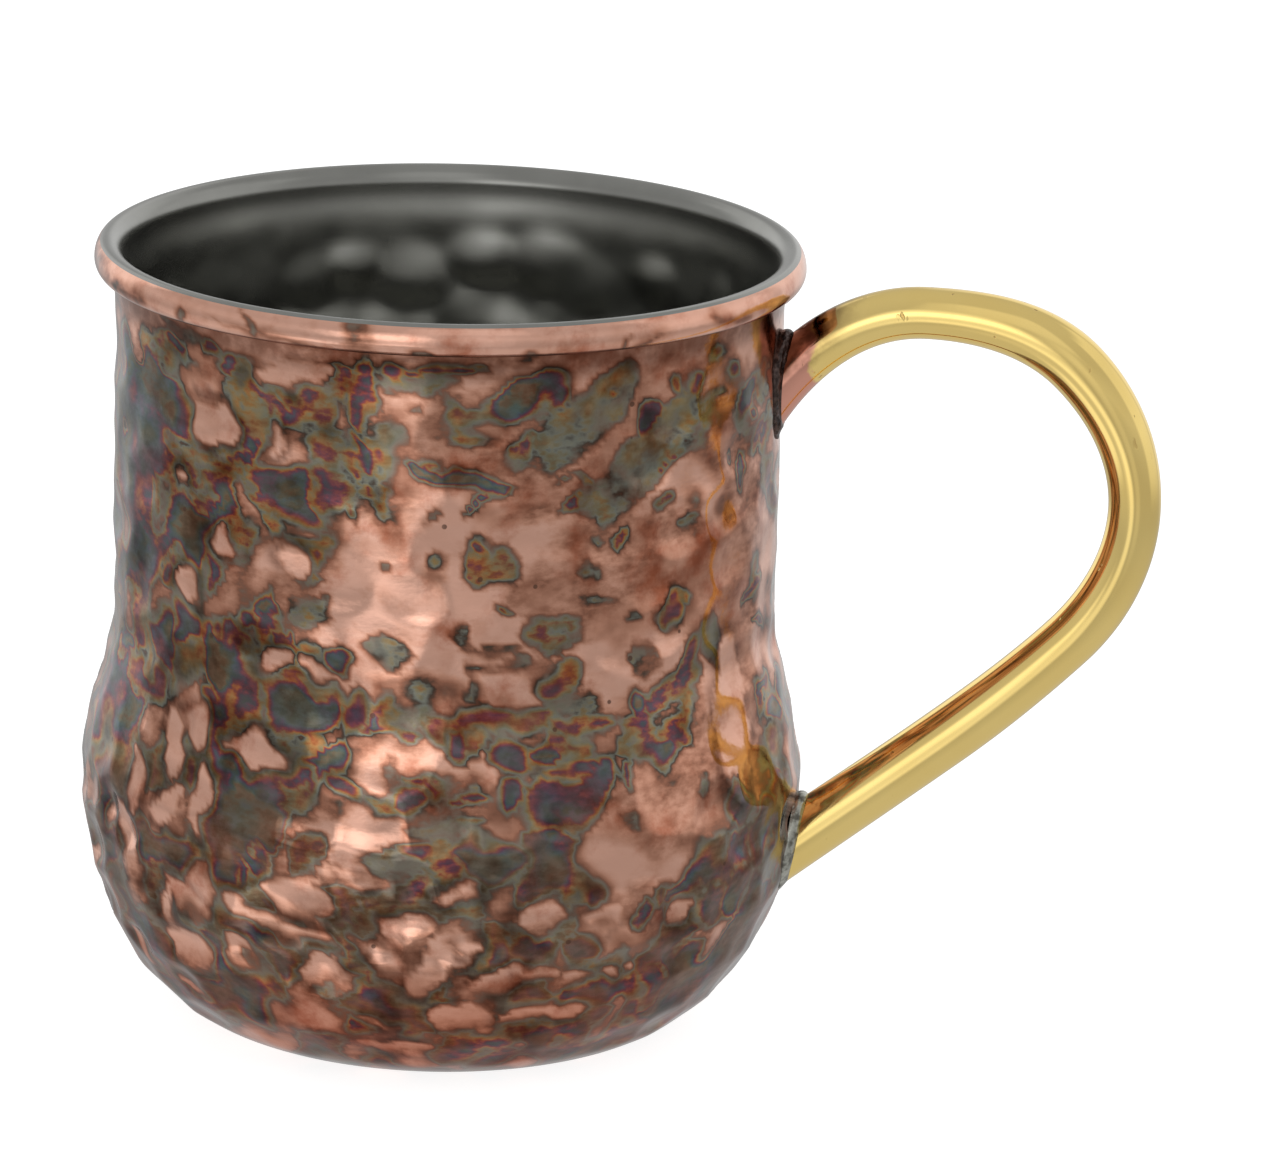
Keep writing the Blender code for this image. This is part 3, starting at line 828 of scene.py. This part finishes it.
def inside_by(across, up, half_width, half_height, tilt):
    """How many millimetres each point is inside a tilted ellipse, less than 0 outside it."""
    cos, sin = math.cos(math.radians(tilt)), math.sin(math.radians(tilt))
    u, v = across * cos + up * sin, up * cos - across * sin
    ring = np.hypot(u / half_width, v / half_height) + 1e-6
    slope = np.hypot(u / half_width**2, v / half_height**2) / ring + 1e-6
    return np.clip((1 - ring) / slope, -9, min(half_width, half_height))


def cover_at(turn, height):
    """How much of the wall thin film covers at each point, from COVER."""
    rows = np.array([np.interp(turn, COVER_TURNS, shares) for _, shares in COVER])
    levels = np.array([level for level, _ in COVER])
    upper = np.clip(np.searchsorted(levels, height), 1, len(levels) - 1)
    share = np.clip((height - levels[upper - 1]) / (levels[upper] - levels[upper - 1]), 0, 1)
    low = np.take_along_axis(rows, upper[None] - 1, 0)[0]
    high = np.take_along_axis(rows, upper[None], 0)[0]
    return low + (high - low) * share


def film_field(points, angle):
    """Film thickness at each point of the shell, 0 for bare copper, and how dark painted shade makes it."""
    turn = turn_between(angle, FRONT)
    height = points[..., 2]
    length = np.interp(height, HEIGHTS, LENGTHS) + np.maximum(height - BEAD_Z, 0)
    radius = wall_radius(height)
    spread = ripple(points, 9.0, 1.3) + 0.6 * ripple(points, 4.0, 5.9)
    steep = 0.1 + 0.5 * np.maximum(ripple(points, 8.0, 9.4), 0)  # how fast film thickens from an edge
    fringe = 0.2 + 2.2 * steep  # how wide an edge's brown rim is
    thick = 0.88 + 0.4 * ripple(points, 11.0, 4.1) + 0.2 * ripple(points, 4.5, 6.6)
    over = 8.0 * (spread + 1.5 * (cover_at(turn, height) - 0.45))  # about how far inside the thin film
    # Painted shade in dark pockets where the film lies.
    shade = 0.75 * smoothstep(0.08, 0.4, ripple(points, 5.5, 12.5)) * smoothstep(0.0, 2.0, over)
    film = smoothstep(-0.6, 0.6, over) * np.minimum(thick, DARK + steep * np.maximum(over, 0))
    film = np.maximum(film, BROWN * smoothstep(-4.5, 0.0, over))
    # The pools' outlines are pushed about by these.
    shift_across = 2.2 * ripple(points, 6.5, 2.2) + 1.2 * ripple(points, 2.8, 7.7)
    shift_up = 1.8 * ripple(points, 6.5, 3.4) + 1.1 * ripple(points, 2.8, 8.8)
    for middle, level, half_width, half_height, tilt, target in PATCHES + tuple(random_patches()):
        up = length - np.interp(level, HEIGHTS, LENGTHS)
        across = np.radians(turn_between(turn, middle)) * radius
        reach = max(half_width, half_height) + 5
        near = (np.abs(across) < reach) & (np.abs(up) < reach)
        by = inside_by((across + shift_across)[near], (up + shift_up)[near], half_width, half_height, tilt)
        inside = smoothstep(-0.5, 0.5, by)
        if BARE < target < DARK:  # tarnish: no edge, and it thins nothing
            film[near] = np.maximum(film[near], target * smoothstep(-1.0, 1.5, by))
            continue
        if target == BARE:  # a window in the film, with a brown rim, painted shade round it and, on the belly, a lower part browned as painted shade
            rise = BROWN * smoothstep(fringe[near], 0.0, by)
            # Painted shade: on the belly the window's lower part is browned, below its lit lip.
            if level < BELLY_HEIGHT:
                rise = np.maximum(rise, 0.3 * smoothstep(0.3, -1.0, (up + shift_up)[near] / half_height))
            film[near] = np.minimum(film[near], DARK + (0.05 + 0.8 * steep[near]) * np.maximum(-by, 0))
            # Painted shade in a halo round the window.
            halo = smoothstep(-2.4, -0.3, by) * (1 - inside) * smoothstep(-0.4, 0.3, shift_up[near])
            shade[near] = np.maximum(shade[near] * (1 - inside), halo)
        else:  # a pool, which thickens from its rim to its middle
            quick = np.maximum(steep[near], (target - DARK) / (0.3 + 0.5 * min(half_width, half_height)))
            rise = np.minimum(target, DARK + quick * np.maximum(by, 0))
            film[near] = np.maximum(film[near], BROWN * smoothstep(-fringe[near], 0.0, by))
        film[near] += (rise - film[near]) * inside
    # Painted shadow under the bead, added to the shade.
    return film, np.maximum(shade, window(height, *BEAD_SHADOW_HEIGHTS))


def add_values(piece, name, values):
    """Give each point of a piece a value that its material can read."""
    attribute = piece.data.attributes.new(name, "FLOAT", "POINT")
    attribute.data.foreach_set("value", values.astype(np.float32))


# Studio ------------------------------------------------------------------------------------------

VIEW_DOWN = 15.94
VIEW_ROLL = 1.503
VIEW_DISTANCE = 1000.0
VIEW_AIM = (24.2, 0.0, 57.3)  # in axes turned with the camera
SENSOR = 36.0
LENS = 221.3
STAGE_RADIUS = 5.0  # in metres


def camera():
    """A camera in front of the mug, turned, tilted down and rolled a little."""
    spin = Matrix.Rotation(math.radians(VIEW_TURN), 3, "Z")
    down, roll = math.radians(VIEW_DOWN), math.radians(VIEW_ROLL)
    side, lift = Vector((1, 0, 0)), Vector((0, math.sin(down), math.cos(down)))
    back = Vector((0, -math.cos(down), math.sin(down)))
    right = spin @ (side * math.cos(roll) + lift * math.sin(roll))
    up = spin @ (lift * math.cos(roll) - side * math.sin(roll))
    data = bpy.data.cameras.new("camera")
    data.lens = LENS
    data.sensor_width = SENSOR
    made = bpy.data.objects.new("camera", data)
    axes = Matrix((right, up, spin @ back)).transposed().to_4x4()
    place = spin @ (Vector(VIEW_AIM) + back * VIEW_DISTANCE) * MM
    made.matrix_world = Matrix.Translation(place) @ axes
    bpy.context.scene.collection.objects.link(made)
    bpy.context.scene.camera = made


# Soft lamps in the room: degrees to the right of the camera, lift, half the width, half the height and
# brightness.
LAMPS = (
    (-22, 7, 15, 9, 0.65),
    (-15, -1, 8, 27, 0.42),
    (-20, -21, 12, 4, 0.22),
    (-70, -30, 50, 16, 0.12),
    (-52, -36, 12, 9, 0.4),
    (8, 45, 22, 18, 0.2),
    (12, 3, 8, 22, 0.12),
    (100, 20, 28, 30, 0.26),
    (155, 12, 22, 26, 0.35),
    (-140, 12, 20, 26, 0.45),
)
LAMP_EDGE = 6.0  # how softly each ends

# The grey of the room by the height that a ray points to, from straight down to straight up.
ROOM_GREYS = (
    (0.0, 0.60), (0.13, 0.60), (0.25, 0.53), (0.34, 0.48), (0.42, 0.49), (0.5, 0.55), (0.58, 0.63),
    (0.66, 0.60), (0.75, 0.55), (1.0, 0.60),
)


def room():
    """The world round the mug: a soft grey room with soft lamps."""
    world = bpy.data.worlds.new("room")
    bpy.context.scene.world = world
    world.use_nodes = True
    nodes, links = world.node_tree.nodes, world.node_tree.links

    def node(kind, inputs, output=0, **settings):
        made = nodes.new("ShaderNode" + kind)
        for key, value in settings.items():
            setattr(made, key, value)
        for key, value in inputs.items():
            if isinstance(value, bpy.types.NodeSocket):
                links.new(value, made.inputs[key])
            else:
                made.inputs[key].default_value = value
        return made.outputs[output]

    def math_node(operation, a, b=0.0):
        return node("Math", {0: a, 1: b}, operation=operation)

    def nearness(value, half):
        """1 within half of 0, falling softly to 0 outside."""
        edge = math.radians(LAMP_EDGE)
        inputs = {"Value": math_node("ABSOLUTE", value), 1: math.radians(half) + edge}
        inputs[2] = math.radians(half) - edge
        return node("MapRange", inputs, interpolation_type="SMOOTHSTEP")

    way = nodes.new("ShaderNodeTexCoord").outputs["Generated"]
    height = node("SeparateXYZ", {0: way}, output="Z")
    ramp = nodes.new("ShaderNodeValToRGB")
    links.new(node("MapRange", {"Value": height, 1: -1.0}), ramp.inputs["Fac"])
    elements = ramp.color_ramp.elements
    while len(elements) < len(ROOM_GREYS):
        elements.new(1.0)
    for element, (at, grey) in zip(elements, ROOM_GREYS):
        element.position = at
        element.color = (grey, grey, grey, 1.0)
    light = ramp.outputs["Color"]
    lift = math_node("ARCSINE", height)
    for turn, middle, half_width, half_height, bright in LAMPS:
        spin = math.radians(FRONT + turn)
        turned = node("VectorRotate", {"Vector": way, "Angle": -spin}, rotation_type="Z_AXIS")
        x, y = (node("SeparateXYZ", {0: turned}, output=axis) for axis in "XY")
        across = nearness(math_node("ARCTAN2", y, x), half_width)
        up = nearness(math_node("SUBTRACT", lift, math.radians(middle)), half_height)
        light = math_node("ADD", light, math_node("MULTIPLY", math_node("MULTIPLY", across, up), bright))
    links.new(light, nodes["Background"].inputs["Color"])


def plain(name, colour, glow):
    """A matt material with an even white glow."""
    material = bpy.data.materials.new(name)
    material.use_nodes = True
    shader = material.node_tree.nodes["Principled BSDF"]
    shader.inputs["Base Color"].default_value = (*colour, 1)
    shader.inputs["Roughness"].default_value = 1.0
    shader.inputs["Specular IOR Level"].default_value = 0.0
    shader.inputs["Emission Color"].default_value = (1, 1, 1, 1)
    shader.inputs["Emission Strength"].default_value = glow
    return material


def backdrop():
    """A pale floor and a white dome, neither of them seen in the metal, which reflects the room."""
    bpy.ops.mesh.primitive_circle_add(vertices=96, radius=STAGE_RADIUS, fill_type="NGON")
    floor = bpy.context.object
    floor.name = "floor"
    floor.data.materials.append(plain("floor", (0.5, 0.5, 0.5), 0.88))
    bpy.ops.mesh.primitive_uv_sphere_add(segments=48, ring_count=24, radius=STAGE_RADIUS)
    dome = bpy.context.object
    dome.name = "dome"
    dome.data.materials.append(plain("dome", (0, 0, 0), 1.0))
    for stage in (floor, dome):
        stage.visible_glossy = False
        stage.visible_shadow = False
    dome.visible_diffuse = False


def studio():
    """The camera, the backdrop and the room."""
    camera()
    backdrop()
    room()
    bpy.context.scene.view_settings.view_transform = "Standard"


# Assembly ----------------------------------------------------------------------------------------

studio()

shell = copper_shell()
copper_finish(shell)
lining = steel_lining()
lining_finish(lining)
rod_surface, rod_outside = rod_sides()
rod = brass_handle(rod_surface, rod_outside)
brass_finish(rod)
braze = fillet("braze_fillet", rod_surface, rod_outside, False, (1.7, 1.2, 1.0), (1.5, 1.2, 1.0), 0.75, 0.5)
braze_finish(braze)
solder = fillet("solder_fillet", rod_surface, rod_outside, True, (1.5, 1.3, 1.1), (1.2, 0.9, 0.6), 0.7, 0.15)
solder_finish(solder)

for piece, node, slot in (
    (shell, "copper_body", "copper"),
    (lining, "inner_lining", "lining"),
    (rod, "handle", "brass"),
    (braze, "upper_braze", "dark_braze"),
    (solder, "lower_solder", "tin_solder"),
):
    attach(piece, "root")
    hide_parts(node)
